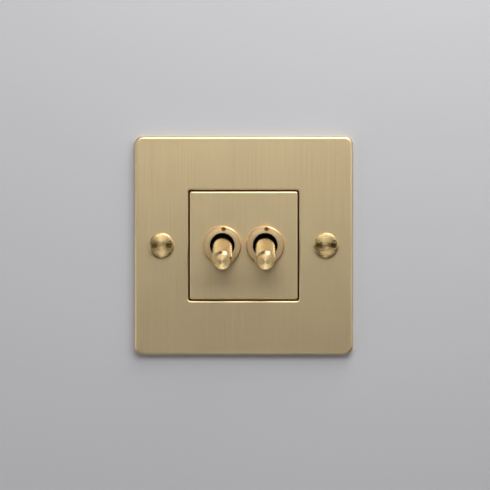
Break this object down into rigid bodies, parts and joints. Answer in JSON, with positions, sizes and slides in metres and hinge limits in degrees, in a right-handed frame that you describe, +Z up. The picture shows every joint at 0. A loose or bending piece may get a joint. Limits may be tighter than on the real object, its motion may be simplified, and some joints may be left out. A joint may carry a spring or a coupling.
{
  "type": "toggle wall switch",
  "caption": "Square brass wall switch plate with a flush insert and twin knurled toggle levers in round collars, over changeover switch modules with screw terminals.",
  "frame": {"origin": "centre of the two fixing screws on the wall plane, which is the back of the cover plate", "axes": "+Y into the wall along the fixing screws, +Z up, +X to the right of someone facing the switch"},
  "size_m": [0.08, 0.0442, 0.08],
  "materials": {
    "plate_brass": "vertical brushed satin, lacquered",
    "turned_brass": "fine turned satin",
    "screw_brass": "turned face, polished rim",
    "terminal_brass": "stamped and machined, bright",
    "zinc_steel": "zinc plated",
    "stem_steel": "ground steel",
    "black_steel": "black oxide",
    "black_moulding": "moulded, fine spark texture",
    "black_nylon": "moulded nylon",
    "rocker_copper": "rolled copper strip",
    "contact_silver": "silver rivet, satin"
  },
  "bodies": {
    "switch_base": {"cover_plate": "plate_brass", "insert_panel": "plate_brass", "carrier_frame": "zinc_steel", "carrier_screws": "zinc_steel", "fixing_screws": "screw_brass", "earth_terminal": "terminal_brass", "earth_screw": "zinc_steel", "left_collar": "turned_brass", "left_bushing": "black_steel", "left_front_housing": "black_moulding", "left_rear_housing": "black_moulding", "left_housing_rivets": "zinc_steel", "left_common_terminal": "terminal_brass", "left_upper_terminal": "terminal_brass", "left_lower_terminal": "terminal_brass", "left_terminal_screws": "zinc_steel", "left_upper_fixed_contact": "contact_silver", "left_lower_fixed_contact": "contact_silver", "left_rocker_pin": "stem_steel", "right_collar": "turned_brass", "right_bushing": "black_steel", "right_front_housing": "black_moulding", "right_rear_housing": "black_moulding", "right_housing_rivets": "zinc_steel", "right_common_terminal": "terminal_brass", "right_upper_terminal": "terminal_brass", "right_lower_terminal": "terminal_brass", "right_terminal_screws": "zinc_steel", "right_upper_fixed_contact": "contact_silver", "right_lower_fixed_contact": "contact_silver", "right_rocker_pin": "stem_steel"},
    "left_lever": {"left_lever_barrel": "turned_brass", "left_lever_tip": "turned_brass", "left_lever_stem": "stem_steel", "left_lever_hub": "black_nylon", "left_lever_pin": "black_steel", "left_plunger_spring": "stem_steel"},
    "left_plunger": {"left_plunger": "black_nylon"},
    "left_rocker": {"left_rocker": "rocker_copper", "left_moving_contacts": "contact_silver"},
    "right_lever": {"right_lever_barrel": "turned_brass", "right_lever_tip": "turned_brass", "right_lever_stem": "stem_steel", "right_lever_hub": "black_nylon", "right_lever_pin": "black_steel", "right_plunger_spring": "stem_steel"},
    "right_plunger": {"right_plunger": "black_nylon"},
    "right_rocker": {"right_rocker": "rocker_copper", "right_moving_contacts": "contact_silver"}
  },
  "joints": [
    {"name": "left_lever_swing", "type": "hinge", "parent": "switch_base", "child": "left_lever", "pos_m": [-0.00785, -0.0044, 0], "axis": [-1, 0, 0], "range_deg": [0, 44]},
    {"name": "left_plunger_slide", "type": "slide", "parent": "left_lever", "child": "left_plunger", "axis": [0, -0.9272, -0.3746], "range_m": [0, 0.0008], "stiffness_N_per_m": 500, "springref_m": -0.0004, "deforming": ["left_plunger_spring"]},
    {"name": "left_rocker_tilt", "type": "hinge", "parent": "switch_base", "child": "left_rocker", "pos_m": [-0.00785, 0.0072, 0], "axis": [1, 0, 0], "range_deg": [0, 17.6]},
    {"name": "right_lever_swing", "type": "hinge", "parent": "switch_base", "child": "right_lever", "pos_m": [0.00785, -0.0044, 0], "axis": [-1, 0, 0], "range_deg": [0, 44]},
    {"name": "right_plunger_slide", "type": "slide", "parent": "right_lever", "child": "right_plunger", "axis": [0, -0.9272, -0.3746], "range_m": [0, 0.0008], "stiffness_N_per_m": 500, "springref_m": -0.0004, "deforming": ["right_plunger_spring"]},
    {"name": "right_rocker_tilt", "type": "hinge", "parent": "switch_base", "child": "right_rocker", "pos_m": [0.00785, 0.0072, 0], "axis": [1, 0, 0], "range_deg": [0, 17.6]}
  ],
  "couplings": [
    {"joint": "left_rocker_tilt", "follows": "left_lever_swing", "ratio": 0.4},
    {"joint": "right_rocker_tilt", "follows": "right_lever_swing", "ratio": 0.4}
  ]
}
